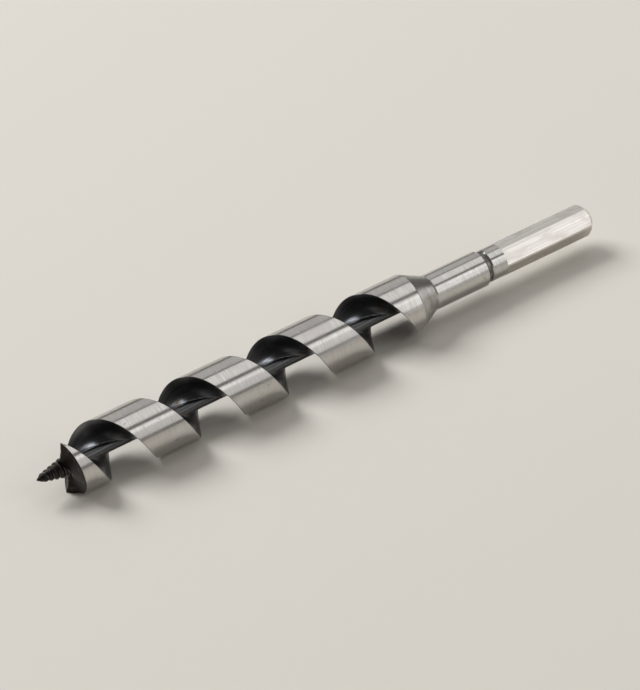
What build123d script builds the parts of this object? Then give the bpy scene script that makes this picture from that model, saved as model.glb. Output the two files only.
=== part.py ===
from build123d import *
import math
import os

os.makedirs("parts", exist_ok=True)

# Millimetres. While it is shaped, the bit lies along +X with its screw point at X = 0.
# Angles about the axis start straight up (+Z) and grow with a right-hand turn about +X.

# Driving dimensions of the twisted body
TOTAL_LENGTH = 241.3
BODY_RADIUS = 11.1
TWIST_PITCH = 37.9
CORE_RADIUS = 2.0
FRONT_BLANK_X = 7.0

# One point of the flute's centre line, and the angle at which the flute stops short.
# The flute is cut in whole turns, and so many of them lie behind the first stop angle.
FLUTE_CENTRE_X = 35.1
FLUTE_CENTRE_ANGLE = 137.5
FLUTE_END_ANGLE = 227.5
FLUTE_TURNS = 5
TURNS_BEHIND = 3

# One flute wall in a plane through the axis: (along from the flute's centre, out from it).
# It leans back from the sharp edge of the land, so that it undercuts the land,
# and a fillet runs it into the round core rib.
FLUTE_MOUTH = (9.07, 12.6)
FLUTE_UNDERCUT = (11.25, 5.8)
FLUTE_FILLET = (10.4, 3.0)
FLUTE_FLOOR = (6.0, CORE_RADIUS)

# Turned outline behind the twist
CONE_START_X = 159.5
CONE_END_X = 168.5
NECK_RADIUS = 6.8
NECK_END_X = 192.3
GROOVE_RADIUS = 5.5
GROOVE_END_X = 194.3
COLLAR_RADIUS = 6.15
COLLAR_END_X = 200.7
TURNED_EDGE = 0.4

# Hexagonal shank with slightly turned-down corners
HEX_ACROSS_FLATS = 11.1
HEX_CORNER_RADIUS = 6.2
HEX_CORNER_ANGLE = 22.0
END_CHAMFER = 2.0

# Lead screw: a pointed cone, (distance from the point, radius), with a cut thread
SCREW_OUTLINE = [(0.0, 0.0), (2.5, 1.75), (9.0, 3.20), (12.5, 4.00)]
SCREW_TAIL = (19.0, 1.9)
THREAD_PITCH = 2.1
THREAD_START_X = -0.75
THREAD_TURNS = 6
THREAD_DEPTH = 0.75
THREAD_GROOVE_WIDTH = 1.75
THREAD_CLEARANCE = 0.9
THREAD_ROOT_START = 0.55
THREAD_ROOT_SLOPE = 0.221

# Cutting lip: the front face leans forward to the centre and falls away behind the lip
LIP_RIM_X = 11.0
LIP_SLOPE = 12.3
RELIEF_PER_TURN = 8.73
RELIEF_START_ANGLE = -70.0
RELIEF_END_ANGLE = 135.0
FRONT_INNER_RADIUS = 1.0
FRONT_OUTER_RADIUS = 13.1
FRONT_CUT_DEPTH = 12.0

# Gullet before the spur: a level floor, then a flank that climbs to the spur point
GULLET_START_ANGLE = 160.0
GULLET_END_ANGLE = 184.0
GULLET_RISE = 3.5


def outline_face(points):
    # A closed outline of (along the axis, out from the axis) in the XZ plane.
    return (Plane.XZ * make_face(Polyline(*points, close=True))).face()


def around(angle, shape):
    # The shape turned about the axis of the bit.
    return Rot(angle, 0, 0) * shape


def helical(face, advance, turn):
    # The solid a face leaves while it moves along +X and turns about the axis.
    return Solid.extrude_linear_with_rotation(face, (0, 0, 0), (advance, 0, 0), turn)


def mirrored(point):
    # The same point of the other flute wall.
    return (-point[0], point[1])


# One turn of the flute: its outline is carried round the helix
lean_back = (FLUTE_UNDERCUT[0] - FLUTE_MOUTH[0], FLUTE_UNDERCUT[1] - FLUTE_MOUTH[1])
fillet_points = (FLUTE_UNDERCUT, FLUTE_FILLET, FLUTE_FLOOR)
right_fillet = Spline(*fillet_points, tangents=[lean_back, (-1, 0)])
left_fillet = Spline(*map(mirrored, fillet_points), tangents=[mirrored(lean_back), (1, 0)])
flute_outline = Line(mirrored(FLUTE_MOUTH), FLUTE_MOUTH)
flute_outline += Line(FLUTE_MOUTH, FLUTE_UNDERCUT)
flute_outline += right_fillet
flute_outline += Line(FLUTE_FLOOR, mirrored(FLUTE_FLOOR))
flute_outline += left_fillet
flute_outline += Line(mirrored(FLUTE_UNDERCUT), mirrored(FLUTE_MOUTH))
flute_face = (Plane.XZ * make_face(flute_outline)).face()
flute_turn = around(FLUTE_END_ANGLE, helical(flute_face, TWIST_PITCH, 360))

# Turned blank: round body, cone, neck, groove and collar
blank = revolve(
    outline_face(
        [
            (FRONT_BLANK_X, 0),
            (FRONT_BLANK_X, BODY_RADIUS),
            (CONE_START_X, BODY_RADIUS),
            (CONE_END_X, NECK_RADIUS),
            (NECK_END_X - TURNED_EDGE, NECK_RADIUS),
            (NECK_END_X, NECK_RADIUS - TURNED_EDGE),
            (NECK_END_X, GROOVE_RADIUS),
            (GROOVE_END_X, GROOVE_RADIUS),
            (GROOVE_END_X, COLLAR_RADIUS - TURNED_EDGE),
            (GROOVE_END_X + TURNED_EDGE, COLLAR_RADIUS),
            (COLLAR_END_X, COLLAR_RADIUS),
            (COLLAR_END_X, 0),
        ]
    ),
    Axis.X,
)

# Shank: a hexagonal bar inside the turned limit that clips its corners and its end
hex_plane = Plane((COLLAR_END_X, 0, 0), x_dir=(0, 0, 1), z_dir=(1, 0, 0))
hex_section = RegularPolygon(HEX_ACROSS_FLATS / 2, 6, major_radius=False)
hex_bar = extrude(hex_plane * hex_section, TOTAL_LENGTH - COLLAR_END_X)
shank_limit = revolve(
    outline_face(
        [
            (COLLAR_END_X, 0),
            (COLLAR_END_X, HEX_CORNER_RADIUS),
            (TOTAL_LENGTH - END_CHAMFER, HEX_CORNER_RADIUS),
            (TOTAL_LENGTH, HEX_CORNER_RADIUS - END_CHAMFER),
            (TOTAL_LENGTH, 0),
        ]
    ),
    Axis.X,
)
shank = around(HEX_CORNER_ANGLE, hex_bar) & shank_limit

# Front face behind the cutting lip: its leaning outline is carried round a slow helix
lean = math.tan(math.radians(LIP_SLOPE))
front_inner_x = LIP_RIM_X - (BODY_RADIUS - FRONT_INNER_RADIUS) * lean
front_outer_x = LIP_RIM_X + (FRONT_OUTER_RADIUS - BODY_RADIUS) * lean
front_face = outline_face(
    [
        (front_inner_x, FRONT_INNER_RADIUS),
        (front_outer_x, FRONT_OUTER_RADIUS),
        (front_outer_x - FRONT_CUT_DEPTH, FRONT_OUTER_RADIUS),
        (front_inner_x - FRONT_CUT_DEPTH, FRONT_INNER_RADIUS),
    ]
)
relief_turn = RELIEF_END_ANGLE - RELIEF_START_ANGLE
relief_cut = helical(front_face, relief_turn / 360 * RELIEF_PER_TURN, relief_turn)
relief_cut = around(RELIEF_START_ANGLE, relief_cut)
relief_cut = Pos(RELIEF_START_ANGLE / 360 * RELIEF_PER_TURN, 0, 0) * relief_cut

# The gullet carries the same front face on, level at first and then forwards
gullet_x = RELIEF_END_ANGLE / 360 * RELIEF_PER_TURN
floor_cut = revolve(front_face, Axis.X, GULLET_START_ANGLE - RELIEF_END_ANGLE)
floor_cut = Pos(gullet_x, 0, 0) * around(RELIEF_END_ANGLE, floor_cut)
flank_cut = helical(front_face, GULLET_RISE, GULLET_START_ANGLE - GULLET_END_ANGLE)
flank_cut = Pos(gullet_x - GULLET_RISE, 0, 0) * around(GULLET_END_ANGLE, flank_cut)

# Twisted body: the flute is cut from the blank one turn after another
flute_angle = FLUTE_END_ANGLE - FLUTE_CENTRE_ANGLE
first_stop_x = FLUTE_CENTRE_X + flute_angle / 360 * TWIST_PITCH
body = blank
for turn in range(FLUTE_TURNS):
    turn_x = first_stop_x + (TURNS_BEHIND - 1 - turn) * TWIST_PITCH
    body = body - Pos(turn_x, 0, 0) * flute_turn
for front_cut in (relief_cut, floor_cut, flank_cut):
    body = body - front_cut

# Lead screw: each turn of the tapered thread groove is cut from the cone
screw = revolve(outline_face(SCREW_OUTLINE + [SCREW_TAIL, (SCREW_TAIL[0], 0)]), Axis.X)
groove_half = THREAD_GROOVE_WIDTH / 2
groove_top = THREAD_DEPTH + THREAD_CLEARANCE
groove_section = make_face(
    Polyline(
        (0, 0),
        (groove_half, THREAD_DEPTH),
        (groove_half, groove_top),
        (-groove_half, groove_top),
        (-groove_half, THREAD_DEPTH),
        close=True,
    )
)
thread_angle = math.degrees(math.atan(THREAD_ROOT_SLOPE))
for turn in range(THREAD_TURNS):
    start_x = THREAD_START_X + turn * THREAD_PITCH
    end_x = start_x + THREAD_PITCH
    root_radius = THREAD_ROOT_START + THREAD_ROOT_SLOPE * start_x
    start = (start_x, 0, 0)
    path = Helix(THREAD_PITCH, THREAD_PITCH, root_radius, start, (1, 0, 0), thread_angle)
    plane = Plane((start_x, 0, root_radius), x_dir=(1, 0, 0), z_dir=(0, -1, 0))
    groove = sweep(plane * groove_section, path=path, binormal=Line(start, (end_x, 0, 0)))
    screw = screw - groove

# One solid, laid on its lands with its middle over the origin
auger_bit = body + shank + screw
auger_bit = Pos(-TOTAL_LENGTH / 2, 0, BODY_RADIUS) * auger_bit
export_step(auger_bit, "parts/auger_bit.step")
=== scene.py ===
# A 7/8 inch auger bit, lying on its lands on a pale studio floor.
# The visible steel is one closed piece that stands where the CAD solid stands.
import math

import bpy
from mathutils import Matrix, Vector


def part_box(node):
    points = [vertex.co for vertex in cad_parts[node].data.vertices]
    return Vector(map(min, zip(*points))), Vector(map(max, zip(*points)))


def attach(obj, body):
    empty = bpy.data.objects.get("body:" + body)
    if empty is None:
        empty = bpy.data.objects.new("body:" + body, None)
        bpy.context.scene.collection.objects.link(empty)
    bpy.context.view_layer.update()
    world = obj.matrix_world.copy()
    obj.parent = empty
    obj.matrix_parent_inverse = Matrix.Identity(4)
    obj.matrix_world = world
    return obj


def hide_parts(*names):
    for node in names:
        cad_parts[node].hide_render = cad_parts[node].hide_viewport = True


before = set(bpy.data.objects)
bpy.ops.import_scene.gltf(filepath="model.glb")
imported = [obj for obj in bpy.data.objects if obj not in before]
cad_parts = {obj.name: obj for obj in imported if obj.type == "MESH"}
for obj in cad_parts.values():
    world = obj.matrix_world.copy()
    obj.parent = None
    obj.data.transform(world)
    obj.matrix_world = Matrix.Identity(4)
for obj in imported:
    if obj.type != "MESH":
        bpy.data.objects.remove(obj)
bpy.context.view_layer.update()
bpy.ops.object.select_all(action="DESELECT")

MM = 0.001
FULL_TURN = 2 * math.pi
low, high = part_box("auger_bit")

# Sizes of the bit, in metres. While it is shaped, the bit lies along +X with its
# screw point at X = 0 and its axis on the X axis. Angles start straight up and
# grow with a right-hand turn about +X.
TOTAL_LENGTH = high.x - low.x
BODY_RADIUS = (high.z - low.z) / 2
TWIST_PITCH = 37.9 * MM
CORE_RADIUS = 2.0 * MM
FRONT_BLANK_X = 7.0 * MM

# Flute: a point of its centre line, where it stops, and one wall as (along, out)
FLUTE_CENTRE_X = 35.1 * MM
FLUTE_CENTRE_ANGLE = math.radians(137.5)
FLUTE_END_ANGLE = math.radians(227.5)
FLUTE_TURNS = 5
TURNS_BEHIND = 3
FLUTE_MOUTH = (9.07 * MM, 12.6 * MM)
FLUTE_UNDERCUT = (11.25 * MM, 5.8 * MM)
FLUTE_FILLET_REACH = 4.4 * MM
LAND_CHAMFER = 0.15 * MM

# Turned outline behind the twist
CONE_START_X = 159.5 * MM
CONE_END_X = 168.5 * MM
NECK_RADIUS = 6.8 * MM
NECK_END_X = 192.3 * MM
GROOVE_RADIUS = 5.5 * MM
GROOVE_END_X = 194.3 * MM
COLLAR_RADIUS = 6.15 * MM
COLLAR_END_X = 200.7 * MM
TURNED_EDGE = 0.4 * MM
CONE_SHOULDER = 0.3 * MM
CONE_FOOT = 0.8 * MM
CONE_ROUND_CUTS = 4

# Hexagonal shank
HEX_ACROSS_FLATS = 11.1 * MM
HEX_CORNER_RADIUS = 6.2 * MM
HEX_CORNER_ANGLE = math.radians(22.0)
END_CHAMFER = 2.0 * MM
HEX_OVERLAP = 1.0 * MM

# Lead screw: (distance from the point, radius) and its tapered thread groove
SCREW_OUTLINE = [(2.5 * MM, 1.75 * MM), (9.0 * MM, 3.2 * MM), (12.5 * MM, 4.0 * MM)]
SCREW_TAIL = (19.0 * MM, 1.9 * MM)
THREAD_PITCH = 2.1 * MM
THREAD_START_X = -0.75 * MM
THREAD_TURNS = 6
THREAD_DEPTH = 0.75 * MM
THREAD_GROOVE_WIDTH = 1.75 * MM
THREAD_CLEARANCE = 0.9 * MM
SCREW_POINT_RADIUS = 0.1 * MM

# Cutting lip, relief behind it, and the gullet before the spur
LIP_RIM_X = 11.0 * MM
LIP_SLOPE = math.radians(12.3)
RELIEF_PER_TURN = 8.73 * MM
RELIEF_START_ANGLE = math.radians(-70.0)
RELIEF_END_ANGLE = math.radians(135.0)
GULLET_START_ANGLE = math.radians(160.0)
GULLET_END_ANGLE = math.radians(184.0)
GULLET_RISE = 3.5 * MM
FRONT_INNER_RADIUS = 1.0 * MM
FRONT_OUTER_RADIUS = 13.1 * MM
FRONT_CUT_DEPTH = 12.0 * MM

# Fineness of the round surfaces, and how near each other two vertices become one
SIDES = 180
STEPS_PER_TURN = 120
FILLET_CUTS = 12
WALL_CUTS = 6
SMOOTH_ANGLE = math.radians(18)
MERGE = 0.002 * MM
FINE_MERGE = 0.0005 * MM

# Patterns: how finely a cloud is broken up, the cloud values at which fine marks start
# and are full, and the two inputs and the output of a mix of colours or of numbers
CLOUD_DETAIL = 3.0
MARKS_START = 0.3
MARKS_END = 0.7
MIX_SOCKETS = {"RGBA": (6, 7, 2), "FLOAT": (2, 3, 0)}

# Worn edges: an edge is where a rounded surface would face another way than the flat
# one. Wear starts at the first likeness of the two and is full at the second, in
# patches of so many millimetres.
EDGE_RADIUS = 0.35 * MM
EDGE_SAMPLES = 6
EDGE_LIKENESS = (0.99, 0.88)
EDGE_PATCH = (1.5, 1.5, 1.5)

# Blackened steel, in millimetres: where the rubbed rim and core start and are full,
# measured from the axis, and where the painted shade on the cutting end starts and is full,
# measured from the screw point
RUBBED_RIM = (5.5, 10.5)
RUBBED_CORE = (2.8, 2.1)
SHADED_END = (20.0, 14.0)

# Camera of the photograph, in metres, aimed at the middle of the bit
CAMERA_PLACE = Vector((-0.7235, -1.0623, 0.9870))
CAMERA_ROLL = math.radians(-3.155)
CAMERA_LENS = 0.2373

# Studio, in metres: the floor's colour and size, the lamps' distance from the bit's axis
# and their length, and how far along the bit they stand for each metre of that distance
PALE_SHEET = "D9D5CD"
FLOOR_SIZE = 9.0
LAMP_REACH = 2.7
LAMP_LENGTH = 2.7
LAMP_LEAN = 0.5

# Studio walls: the rise of a view direction at which they start and end to grow dimmer,
# and their strength below and above
WALL_RISE = (0.075, 0.11)
WALL_STRENGTH = (0.9, 0.2)


def pick(piece):
    # Makes one piece the selected and active one.
    bpy.ops.object.select_all(action="DESELECT")
    piece.select_set(True)
    bpy.context.view_layer.objects.active = piece


def start_shape(name):
    # Names the new primitive and opens it in edit mode, with its place in its mesh.
    shape = bpy.context.object
    shape.name = name
    bpy.ops.object.transform_apply(location=True, rotation=True, scale=True)
    bpy.ops.object.mode_set(mode="EDIT")
    bpy.ops.mesh.select_mode(type="VERT")
    return shape


def end_shape(shape, paint):
    # Merges doubles, turns the faces outwards and gives the shape its finish.
    bpy.ops.mesh.select_all(action="SELECT")
    bpy.ops.mesh.remove_doubles(threshold=MERGE)
    bpy.ops.mesh.normals_make_consistent(inside=False)
    bpy.ops.object.mode_set(mode="OBJECT")
    shape.data.materials.append(paint)
    return shape


def turned(name, outline, paint):
    # A turned bar: a circle extruded along the axis and scaled at each (along, out).
    first_x, radius = outline[0]
    bpy.ops.mesh.primitive_circle_add(
        vertices=SIDES,
        radius=radius,
        fill_type="NGON",
        location=(first_x, 0, 0),
        rotation=(0, math.pi / 2, 0),
    )
    bar = start_shape(name)
    for (old_x, old_radius), (new_x, new_radius) in zip(outline, outline[1:]):
        move = {"value": (new_x - old_x, 0, 0)}
        bpy.ops.mesh.extrude_region_move(TRANSFORM_OT_translate=move)
        scale = new_radius / old_radius
        bpy.ops.transform.resize(value=(1, scale, scale), center_override=(0, 0, 0))
    return end_shape(bar, paint)


def outline_loop(name, points):
    # A closed outline in the XZ plane: one vertex extruded from point to point.
    (first_x, first_out) = points[0]
    bpy.ops.mesh.primitive_plane_add(size=MM, location=(first_x, 0, first_out))
    loop = start_shape(name)
    bpy.ops.mesh.merge(type="CENTER")
    for (old_x, old_out), (new_x, new_out) in zip(points, points[1:] + points[:1]):
        move = {"value": (new_x - old_x, 0, new_out - old_out)}
        bpy.ops.mesh.extrude_vertices_move(TRANSFORM_OT_translate=move)
    bpy.ops.mesh.select_all(action="SELECT")
    bpy.ops.mesh.remove_doubles(threshold=MERGE)
    bpy.ops.object.mode_set(mode="OBJECT")
    return loop


def swept(loop, start_x, start_angle, advance, turn):
    # The open skin an outline leaves as it moves along the axis and turns about it.
    pick(loop)
    place = Matrix.Translation((start_x, 0, 0)) @ Matrix.Rotation(start_angle, 4, "X")
    loop.matrix_world = place
    bpy.ops.object.transform_apply(location=True, rotation=True, scale=True)
    bpy.ops.object.modifier_add(type="SCREW")
    screw = loop.modifiers[-1]
    screw.axis = "X"
    screw.angle = turn
    screw.screw_offset = advance
    screw.render_steps = round(abs(turn) / FULL_TURN * STEPS_PER_TURN)
    screw.steps = screw.render_steps
    bpy.ops.object.modifier_apply(modifier=screw.name)
    return loop


def closed(skins, paint):
    # One solid of skins that follow each other, with its two open ends filled.
    pick(skins[0])
    for skin in skins[1:]:
        skin.select_set(True)
    if len(skins) > 1:
        bpy.ops.object.join()
    bpy.ops.object.mode_set(mode="EDIT")
    bpy.ops.mesh.select_all(action="SELECT")
    bpy.ops.mesh.remove_doubles(threshold=MERGE)
    bpy.ops.mesh.select_all(action="SELECT")
    bpy.ops.mesh.fill_holes(sides=0)
    return end_shape(skins[0], paint)


def joined(piece, tool, operation):
    # Cuts, limits or welds a piece with another, whose faces bring their own finish.
    pick(piece)
    bpy.ops.object.modifier_add(type="BOOLEAN")
    boolean = piece.modifiers[-1]
    boolean.operation = operation
    boolean.object = tool
    boolean.solver = "EXACT"
    boolean.material_mode = "TRANSFER"
    bpy.ops.object.modifier_apply(modifier=boolean.name)
    bpy.data.objects.remove(tool)


def chosen(shape, kind, test):
    # Selects the vertices or edges whose middle passes the test, in edit mode.
    bpy.ops.mesh.select_all(action="DESELECT")
    bpy.ops.mesh.select_mode(type=kind)
    bpy.ops.object.mode_set(mode="OBJECT")
    places = [v.co for v in shape.data.vertices]
    if kind == "VERT":
        for vertex in shape.data.vertices:
            vertex.select = test(vertex.co)
    if kind == "EDGE":
        for edge in shape.data.edges:
            edge.select = test(sum((places[v] for v in edge.vertices), Vector()) / 2)
    bpy.ops.object.mode_set(mode="EDIT")


def flute_loop():
    # The flute's outline: chamfered at the mouth, leaning walls and a filleted floor.
    lean = (FLUTE_UNDERCUT[0] - FLUTE_MOUTH[0]) / (FLUTE_MOUTH[1] - FLUTE_UNDERCUT[1])
    chamfer_out = BODY_RADIUS - LAND_CHAMFER
    chamfer_x = FLUTE_MOUTH[0] + lean * (FLUTE_MOUTH[1] - chamfer_out)
    floor_x = FLUTE_MOUTH[0] + lean * (FLUTE_MOUTH[1] - CORE_RADIUS)
    right = [
        (chamfer_x + FLUTE_MOUTH[1] - chamfer_out, FLUTE_MOUTH[1]),
        (chamfer_x, chamfer_out),
        (floor_x, CORE_RADIUS),
    ]
    left = [(-along, out) for along, out in reversed(right)]
    loop = outline_loop("flute_cutter", right + left)
    bpy.ops.object.mode_set(mode="EDIT")
    bpy.ops.mesh.select_all(action="SELECT")
    bpy.ops.mesh.edge_face_add()
    chosen(loop, "VERT", lambda place: abs(place.z - CORE_RADIUS) < MERGE)
    bpy.ops.mesh.bevel(
        offset=FLUTE_FILLET_REACH, segments=FILLET_CUTS, affect="VERTICES"
    )
    bpy.ops.mesh.select_all(action="SELECT")
    bpy.ops.mesh.delete(type="ONLY_FACE")
    wall_z = (chamfer_out + CORE_RADIUS) / 2
    chosen(loop, "EDGE", lambda place: wall_z < place.z < chamfer_out - MERGE)
    bpy.ops.mesh.subdivide(number_cuts=WALL_CUTS)
    bpy.ops.object.mode_set(mode="OBJECT")
    return loop


def cut_flute(blank, paint):
    # One long flute, from its stop on the far side to well in front of the blank.
    stop_turn = (FLUTE_END_ANGLE - FLUTE_CENTRE_ANGLE) / FULL_TURN
    stop_x = FLUTE_CENTRE_X + (stop_turn + TURNS_BEHIND) * TWIST_PITCH
    turn = -FLUTE_TURNS * FULL_TURN
    advance = -FLUTE_TURNS * TWIST_PITCH
    flute = swept(flute_loop(), stop_x, FLUTE_END_ANGLE, advance, turn)
    joined(blank, closed([flute], paint), "DIFFERENCE")


def cut_front(blank, paint):
    # One cutter for the face behind the lip, the level gullet and the spur's flank.
    lean = math.tan(LIP_SLOPE)
    inner_x = LIP_RIM_X - (BODY_RADIUS - FRONT_INNER_RADIUS) * lean
    outer_x = LIP_RIM_X + (FRONT_OUTER_RADIUS - BODY_RADIUS) * lean
    section = [
        (inner_x, FRONT_INNER_RADIUS),
        (outer_x, FRONT_OUTER_RADIUS),
        (outer_x - FRONT_CUT_DEPTH, FRONT_OUTER_RADIUS),
        (inner_x - FRONT_CUT_DEPTH, FRONT_INNER_RADIUS),
    ]
    start_x = RELIEF_START_ANGLE / FULL_TURN * RELIEF_PER_TURN
    gullet_x = RELIEF_END_ANGLE / FULL_TURN * RELIEF_PER_TURN
    relief_turn = RELIEF_END_ANGLE - RELIEF_START_ANGLE
    floor_turn = GULLET_START_ANGLE - RELIEF_END_ANGLE
    flank_turn = GULLET_END_ANGLE - GULLET_START_ANGLE
    moves = [
        (start_x, RELIEF_START_ANGLE, gullet_x - start_x, relief_turn),
        (gullet_x, RELIEF_END_ANGLE, 0, floor_turn),
        (gullet_x, GULLET_START_ANGLE, -GULLET_RISE, flank_turn),
    ]
    skins = [swept(outline_loop("front_cutter", section), *move) for move in moves]
    joined(blank, closed(skins, paint), "DIFFERENCE")


def turned_body(paint):
    # The body, cone, neck, groove and collar as one turned bar.
    outline = [
        (FRONT_BLANK_X, BODY_RADIUS),
        (CONE_START_X, BODY_RADIUS),
        (CONE_END_X, NECK_RADIUS),
        (NECK_END_X - TURNED_EDGE, NECK_RADIUS),
        (NECK_END_X, NECK_RADIUS - TURNED_EDGE),
        (NECK_END_X, GROOVE_RADIUS),
        (GROOVE_END_X, GROOVE_RADIUS),
        (GROOVE_END_X, COLLAR_RADIUS - TURNED_EDGE),
        (GROOVE_END_X + TURNED_EDGE, COLLAR_RADIUS),
        (COLLAR_END_X, COLLAR_RADIUS),
    ]
    body = turned("bit_steel", outline, paint)
    bpy.ops.object.mode_set(mode="EDIT")
    for ring_x, reach in ((CONE_START_X, CONE_SHOULDER), (CONE_END_X, CONE_FOOT)):
        chosen(body, "EDGE", lambda place: abs(place.x - ring_x) < MERGE)
        bpy.ops.mesh.bevel(offset=reach, segments=CONE_ROUND_CUTS, affect="EDGES")
    bpy.ops.object.mode_set(mode="OBJECT")
    return body


def hexagonal_shank(paint):
    # A six-sided bar, limited by a turned bar that takes off its corners and its end.
    start_x = COLLAR_END_X - HEX_OVERLAP
    length = TOTAL_LENGTH - start_x
    bpy.ops.mesh.primitive_cylinder_add(
        vertices=6,
        radius=HEX_ACROSS_FLATS / math.sqrt(3),
        depth=length,
        location=(start_x + length / 2, 0, 0),
        rotation=(0, math.pi / 2, 0),
    )
    bar = end_shape(start_shape("hex_shank"), paint)
    bar.matrix_world = Matrix.Rotation(HEX_CORNER_ANGLE + math.pi / 2, 4, "X")
    bpy.ops.object.transform_apply(location=False, rotation=True, scale=False)
    outline = [
        (start_x, GROOVE_RADIUS),
        (COLLAR_END_X, HEX_CORNER_RADIUS),
        (TOTAL_LENGTH - END_CHAMFER, HEX_CORNER_RADIUS),
        (TOTAL_LENGTH, HEX_CORNER_RADIUS - END_CHAMFER),
    ]
    joined(bar, turned("hex_limit", outline, paint), "INTERSECT")
    return bar


def thread_cutter(paint):
    # A straight V groove, then tapered to follow the cone: full size where the cone ends.
    full_x, full_radius = SCREW_OUTLINE[-1]
    start_x, start_radius = SCREW_OUTLINE[0]
    half = THREAD_GROOVE_WIDTH / 2
    section = [
        (0, full_radius - THREAD_DEPTH),
        (half, full_radius),
        (half, full_radius + THREAD_CLEARANCE),
        (-half, full_radius + THREAD_CLEARANCE),
        (-half, full_radius),
    ]
    loop = outline_loop("thread_cutter", section)
    advance = THREAD_TURNS * THREAD_PITCH
    turn = THREAD_TURNS * FULL_TURN
    skin = swept(loop, THREAD_START_X - full_x, 0, advance, turn)
    cutter = closed([skin], paint)
    bpy.ops.object.modifier_add(type="SIMPLE_DEFORM")
    taper = cutter.modifiers[-1]
    taper.deform_method = "TAPER"
    taper.deform_axis = "X"
    slope = (full_radius - start_radius) / (full_x - start_x)
    taper.factor = slope / full_radius * cutter.dimensions.x
    bpy.ops.object.modifier_apply(modifier=taper.name)
    cutter.location.x = full_x
    bpy.ops.object.transform_apply(location=True, rotation=False, scale=False)
    return cutter


def lead_screw(paint):
    # A pointed cone, drawn out from its tail to its point, with the thread cut into it.
    tip = (SCREW_POINT_RADIUS, SCREW_POINT_RADIUS)
    cone = turned("lead_screw", [SCREW_TAIL] + SCREW_OUTLINE[::-1] + [tip], paint)
    joined(cone, thread_cutter(paint), "DIFFERENCE")
    return cone


def paint_faces(piece, paint, test):
    # Gives a finish to the faces whose middle passes the test.
    slot = piece.data.materials.find(paint.name)
    if slot < 0:
        piece.data.materials.append(paint)
        slot = len(piece.data.materials) - 1
    for face in piece.data.polygons:
        if test(face.center):
            face.material_index = slot


def on_cone(place):
    # The cone between the body and the neck, which is turned but not ground.
    return CONE_START_X < place.x < CONE_END_X and place.yz.length > NECK_RADIUS


def in_groove(place):
    # The groove behind the neck, with its two walls.
    return NECK_END_X - MERGE < place.x < GROOVE_END_X + MERGE


def linear(colour):
    # An sRGB hex colour as the linear values that a shader takes.
    channels = [int(colour[start : start + 2], 16) / 255 for start in (0, 2, 4)]
    return [
        value / 12.92 if value <= 0.04045 else ((value + 0.055) / 1.055) ** 2.4
        for value in channels
    ] + [1]


def add(tree, kind, inputs=None, **settings):
    # Adds a node with its settings. Each input is a value, or the output that feeds it.
    node = tree.nodes.new(kind)
    for name, value in settings.items():
        setattr(node, name, value)
    for name, value in (inputs or {}).items():
        if isinstance(value, bpy.types.NodeSocket):
            tree.links.new(value, node.inputs[name])
        else:
            node.inputs[name].default_value = value
    return node


def new_material(name):
    # A material with only its output and its Principled shader.
    material = bpy.data.materials.new(name)
    material.use_nodes = True
    tree = material.node_tree
    tree.nodes.clear()
    shader = add(tree, "ShaderNodeBsdfPrincipled")
    add(tree, "ShaderNodeOutputMaterial", {"Surface": shader.outputs[0]})
    return material, tree, shader


def bit_place(tree):
    # Object coordinates in millimetres, from the screw point and the bit's axis.
    object_place = add(tree, "ShaderNodeTexCoord").outputs["Object"]
    return add(
        tree,
        "ShaderNodeMapping",
        {
            "Vector": object_place,
            "Location": (-low.x / MM, 0, -BODY_RADIUS / MM),
            "Scale": (1 / MM, 1 / MM, 1 / MM),
        },
    ).outputs[0]


def along_twist(tree, place):
    # The same place with the twist taken out, so that a pattern follows the flute.
    along = add(tree, "ShaderNodeSeparateXYZ", {"Vector": place}).outputs["X"]
    turn = add(
        tree,
        "ShaderNodeMath",
        {0: along, 1: -FULL_TURN * MM / TWIST_PITCH},
        operation="MULTIPLY",
    ).outputs[0]
    return add(
        tree,
        "ShaderNodeVectorRotate",
        {"Vector": place, "Angle": turn},
        rotation_type="X_AXIS",
    ).outputs[0]


def axis_distance(tree, place):
    # How far the surface is from the bit's axis, in millimetres.
    across = add(
        tree, "ShaderNodeVectorMath", {0: place, 1: (0, 1, 1)}, operation="MULTIPLY"
    ).outputs["Vector"]
    return add(
        tree, "ShaderNodeVectorMath", {0: across}, operation="LENGTH"
    ).outputs["Value"]


def patches(tree, place, size, start, end):
    # A cloudy mask in patches about size millimetres along, across and up. It is 0
    # where the cloud is under start, and 1 where it is over end.
    sized = add(
        tree,
        "ShaderNodeMapping",
        {"Vector": place, "Scale": [1 / length for length in size]},
    ).outputs[0]
    cloud = add(
        tree,
        "ShaderNodeTexNoise",
        {"Vector": sized, "Scale": 1.0, "Detail": CLOUD_DETAIL},
    ).outputs["Fac"]
    return add(
        tree,
        "ShaderNodeMapRange",
        {"Value": cloud, "From Min": start, "From Max": end},
    ).outputs["Result"]


def worn_edges(tree, place):
    # A broken mask along the sharp edges, where hands and wood have rubbed them.
    rounded = add(
        tree, "ShaderNodeBevel", {"Radius": EDGE_RADIUS}, samples=EDGE_SAMPLES
    )
    flat = add(tree, "ShaderNodeNewGeometry").outputs["Normal"]
    likeness = add(
        tree,
        "ShaderNodeVectorMath",
        {0: rounded.outputs[0], 1: flat},
        operation="DOT_PRODUCT",
    ).outputs["Value"]
    first, full = EDGE_LIKENESS
    edge = add(
        tree,
        "ShaderNodeMapRange",
        {"Value": likeness, "From Min": first, "From Max": full},
    ).outputs["Result"]
    gaps = patches(tree, place, EDGE_PATCH, start=0.3, end=0.6)
    return add(
        tree, "ShaderNodeMath", {0: edge, 1: gaps}, operation="MULTIPLY"
    ).outputs[0]


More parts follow.
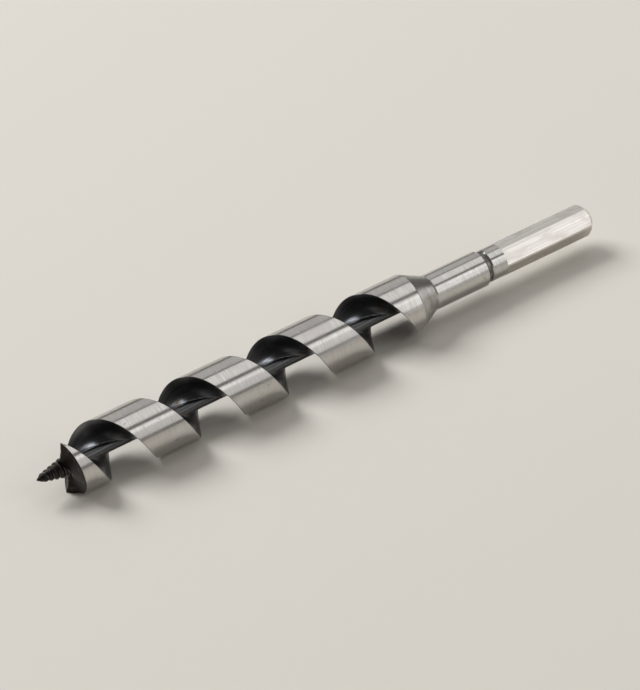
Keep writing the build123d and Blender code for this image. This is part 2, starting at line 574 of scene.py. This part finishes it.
def lay_over(tree, shader, mask, colour, roughness):
    # Lays another colour and roughness over the surface, as far as the mask says.
    for name, kind, value in (
        ("Base Color", "RGBA", linear(colour)),
        ("Roughness", "FLOAT", roughness),
    ):
        socket = shader.inputs[name]
        under = socket.links[0].from_socket if socket.is_linked else socket.default_value
        first, second, result = MIX_SOCKETS[kind]
        mixed = add(
            tree,
            "ShaderNodeMix",
            {0: mask, first: under, second: value},
            data_type=kind,
        ).outputs[result]
        tree.links.new(mixed, socket)


def tool_marks(tree, shader, place, size, colour, roughness, depth):
    # Fine marks that the tool has left all over: duller, and cut in to a depth.
    marks = patches(tree, place, size, MARKS_START, MARKS_END)
    lay_over(tree, shader, marks, colour, roughness)
    relief = add(
        tree, "ShaderNodeBump", {"Height": marks, "Strength": 1.0, "Distance": depth}
    ).outputs[0]
    tree.links.new(relief, shader.inputs["Normal"])


def steel(name, colour, roughness):
    # Bare metal of one colour and roughness, before its marks are laid over it.
    material, tree, shader = new_material(name)
    shader.inputs["Metallic"].default_value = 1
    shader.inputs["Base Color"].default_value = linear(colour)
    shader.inputs["Roughness"].default_value = roughness
    return material, tree, shader, bit_place(tree)


def softbox(name, place, target, size, radiance):
    # A soft rectangular lamp, size across and up, aimed at a target and itself unseen.
    turn = (Vector(target) - Vector(place)).to_track_quat("-Z", "Y").to_euler()
    bpy.ops.object.light_add(type="AREA", location=place, rotation=turn)
    lamp = bpy.context.object
    lamp.name = name
    lamp.visible_camera = False
    lamp.data.shape = "RECTANGLE"
    lamp.data.size, lamp.data.size_y = size
    lamp.data.energy = radiance * math.pi * size[0] * size[1]


def mirrored_softbox(
    name, elevation, spread, radiance, lean=LAMP_LEAN, length=LAMP_LENGTH
):
    # A lamp that the round steel mirrors to the camera. In degrees about the bit's axis,
    # elevation is its middle, counted up from the front, and spread is its width.
    elevation = math.radians(elevation)
    width = 2 * LAMP_REACH * math.tan(math.radians(spread) / 2)
    out = Vector((lean, -math.cos(elevation), math.sin(elevation)))
    place = LAMP_REACH * out
    softbox(name, place, (place.x, 0, 0), (length, width), radiance)


# Centreless-ground carbon steel of the lands, neck and collar: bright, soft-edged
# reflections with fine lines round the bit, a faint film of oil and a few stains.
# The real lines are about 0.05 mm apart, and are drawn 0.4 mm apart so that they show.
ground_steel, tree, shader, place = steel("ground_steel", "C8C6C3", roughness=0.15)
tool_marks(tree, shader, place, (0.4, 6, 6), "BAB7B3", roughness=0.21, depth=0.0008 * MM)
film = patches(tree, place, (14, 6, 6), start=0.48, end=0.72)
lay_over(tree, shader, film, "BBB6B5", roughness=0.23)
stains = patches(tree, place, (2.4, 1.6, 1.6), start=0.66, end=0.78)
lay_over(tree, shader, stains, "A39B91", roughness=0.32)

# Turned steel of the cone, left as the tool cut it: bright but duller than the lands,
# with lines round the bit, drawn 0.8 mm apart so that they show.
turned_steel, tree, shader, place = steel("turned_steel", "C2C1BF", roughness=0.25)
tool_marks(tree, shader, place, (0.8, 12, 12), "A9A8A6", roughness=0.33, depth=0.002 * MM)
film = patches(tree, place, (5, 5, 5), start=0.45, end=0.7)
lay_over(tree, shader, film, "9C9791", roughness=0.36)

# The same turned steel in the groove: dark grey and dull, with darker patches, and with
# lines drawn 0.5 mm apart so that they show.
groove_steel, tree, shader, place = steel("groove_turned_steel", "8E8F8B", roughness=0.34)
tool_marks(tree, shader, place, (0.5, 8, 8), "757673", roughness=0.42, depth=0.002 * MM)
groove_patches = patches(tree, place, (1.5, 3, 3), start=0.45, end=0.65)
lay_over(tree, shader, groove_patches, "5F5D57", roughness=0.5)

# Cold-drawn hexagon bar of the shank: bright, flat and a little warm, with a film of
# oil and faint lines along the bit where the die has drawn them, 0.5 mm apart so that
# they show.
drawn_steel, tree, shader, place = steel("drawn_steel", "E3E0DB", roughness=0.2)
tool_marks(tree, shader, place, (45, 0.5, 0.5), "D5D0CB", roughness=0.27, depth=0.0002 * MM)
film = patches(tree, place, (9, 4, 4), start=0.48, end=0.72)
lay_over(tree, shader, film, "D1C9C3", roughness=0.29)

# Steel blackened in the furnace and oiled, in the flute, on the front and on the
# screw: near black with a blue-grey gloss, and brown patches of scale. The cutter's
# lines follow the twist, and are drawn 0.7 mm apart so that they show.
black_steel, tree, shader, place = steel("blackened_steel", "4C4E52", roughness=0.3)
along_flute = along_twist(tree, place)
tool_marks(
    tree, shader, along_flute, (30, 0.7, 0.7), "3C3D40", roughness=0.38, depth=0.003 * MM
)
scale = patches(tree, place, (5, 4, 4), start=0.5, end=0.72)
lay_over(tree, shader, scale, "3A3530", roughness=0.5)

# Chips have rubbed it: in streaks towards the rim of the flute, and all along the core.
distance = axis_distance(tree, place)
first, full = RUBBED_RIM
rim = add(
    tree, "ShaderNodeMapRange", {"Value": distance, "From Min": first, "From Max": full}
).outputs["Result"]
streaks = patches(tree, along_flute, (16, 2.5, 2.5), start=0.3, end=0.55)
rubbed = add(
    tree, "ShaderNodeMath", {0: rim, 1: streaks}, operation="MULTIPLY"
).outputs[0]
lay_over(tree, shader, rubbed, "707072", roughness=0.3)
first, full = RUBBED_CORE
core = add(
    tree, "ShaderNodeMapRange", {"Value": distance, "From Min": first, "From Max": full}
).outputs["Result"]
lay_over(tree, shader, core, "525253", roughness=0.22)

# Painted shade: the cutting end is darker, in cloudy patches with a few bare flecks. Its
# sharp edges, like those of the flute, are worn bright.
along = add(tree, "ShaderNodeSeparateXYZ", {"Vector": place}).outputs["X"]
first, full = SHADED_END
cutting_end = add(
    tree, "ShaderNodeMapRange", {"Value": along, "From Min": first, "From Max": full}
).outputs["Result"]
clouds = patches(tree, place, (2, 1.6, 1.6), start=0.1, end=0.44)
painted_end_shade = add(
    tree, "ShaderNodeMath", {0: cutting_end, 1: clouds}, operation="MULTIPLY"
).outputs[0]
# Painted shade over the cutting end, darker in cloudy patches
lay_over(tree, shader, painted_end_shade, "2B2826", roughness=0.42)
lay_over(tree, shader, worn_edges(tree, place), "A4A29E", roughness=0.3)

# The bit, first lying along +X from the origin, then moved to its place
bit = turned_body(ground_steel)
cut_flute(bit, black_steel)
cut_front(bit, black_steel)
joined(bit, hexagonal_shank(drawn_steel), "UNION")
joined(bit, lead_screw(black_steel), "UNION")
paint_faces(bit, turned_steel, on_cone)
paint_faces(bit, groove_steel, in_groove)
pick(bit)
bpy.ops.object.mode_set(mode="EDIT")
bpy.ops.mesh.select_all(action="SELECT")
bpy.ops.mesh.remove_doubles(threshold=FINE_MERGE)
bpy.ops.mesh.dissolve_degenerate(threshold=FINE_MERGE)
bpy.ops.object.mode_set(mode="OBJECT")
bit.location = (low.x, 0, BODY_RADIUS)
bpy.ops.object.transform_apply(location=True, rotation=False, scale=False)
bpy.ops.object.shade_smooth_by_angle(angle=SMOOTH_ANGLE)
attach(bit, "root")
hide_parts("auger_bit")

# Camera of the photograph
aim = (low + high) / 2 - CAMERA_PLACE
look = aim.to_track_quat("-Z", "Y").to_matrix() @ Matrix.Rotation(CAMERA_ROLL, 3, "Z")
bpy.ops.object.camera_add(location=CAMERA_PLACE, rotation=look.to_euler())
camera = bpy.context.object
camera.data.lens = CAMERA_LENS / MM
bpy.context.scene.camera = camera

# Floor: a pale studio sheet that fills the view
bpy.ops.mesh.primitive_plane_add(size=FLOOR_SIZE, location=(0, 0, 0))
floor = bpy.context.object
floor.name = "floor"
sheet, tree, shader = new_material("pale_studio_sheet")
shader.inputs["Base Color"].default_value = linear(PALE_SHEET)
shader.inputs["Roughness"].default_value = 0.9
floor.data.materials.append(sheet)

# Lamps in front, overhead and behind. The steel shows the gaps between them as dark lines.
mirrored_softbox("front_low_softbox", elevation=32, spread=29, radiance=0.66)
mirrored_softbox("front_softbox", elevation=53, spread=13, radiance=1.24)
mirrored_softbox("overhead_softbox", elevation=93.5, spread=42, radiance=0.95)
mirrored_softbox("back_softbox", elevation=142, spread=42, radiance=0.52)

# A lamp farther along, which only the neck and the shank mirror to the camera
mirrored_softbox(
    "shank_softbox", elevation=28, spread=44, radiance=0.6, lean=0.73, length=1.0
)

# Lamp past the end of the shank, which the cone mirrors to the camera
softbox(
    "end_softbox",
    place=(3.6, -0.36, 0.78),
    target=(0, -0.36, 0.78),
    size=(1.3, 1.3),
    radiance=1.2,
)

# Key lamp from above and behind, out of the mirror directions: it makes the shadow
softbox(
    "key_softbox",
    place=(-0.9, 1.9, 2.2),
    target=(0, 0, 0),
    size=(1.6, 1.6),
    radiance=9.5,
)

# Studio walls: as pale as the floor at its edge, and dimmer higher up
world = bpy.data.worlds.new("studio")
bpy.context.scene.world = world
world.use_nodes = True
tree = world.node_tree
background = tree.nodes["Background"]
background.inputs["Color"].default_value = linear(PALE_SHEET)
direction = add(tree, "ShaderNodeTexCoord").outputs["Generated"]
rise = add(tree, "ShaderNodeSeparateXYZ", {"Vector": direction}).outputs["Z"]
strength = add(
    tree,
    "ShaderNodeMapRange",
    {
        "Value": rise,
        "From Min": WALL_RISE[0],
        "From Max": WALL_RISE[1],
        "To Min": WALL_STRENGTH[0],
        "To Max": WALL_STRENGTH[1],
    },
).outputs["Result"]
tree.links.new(strength, background.inputs["Strength"])

bpy.context.scene.view_settings.view_transform = "Standard"
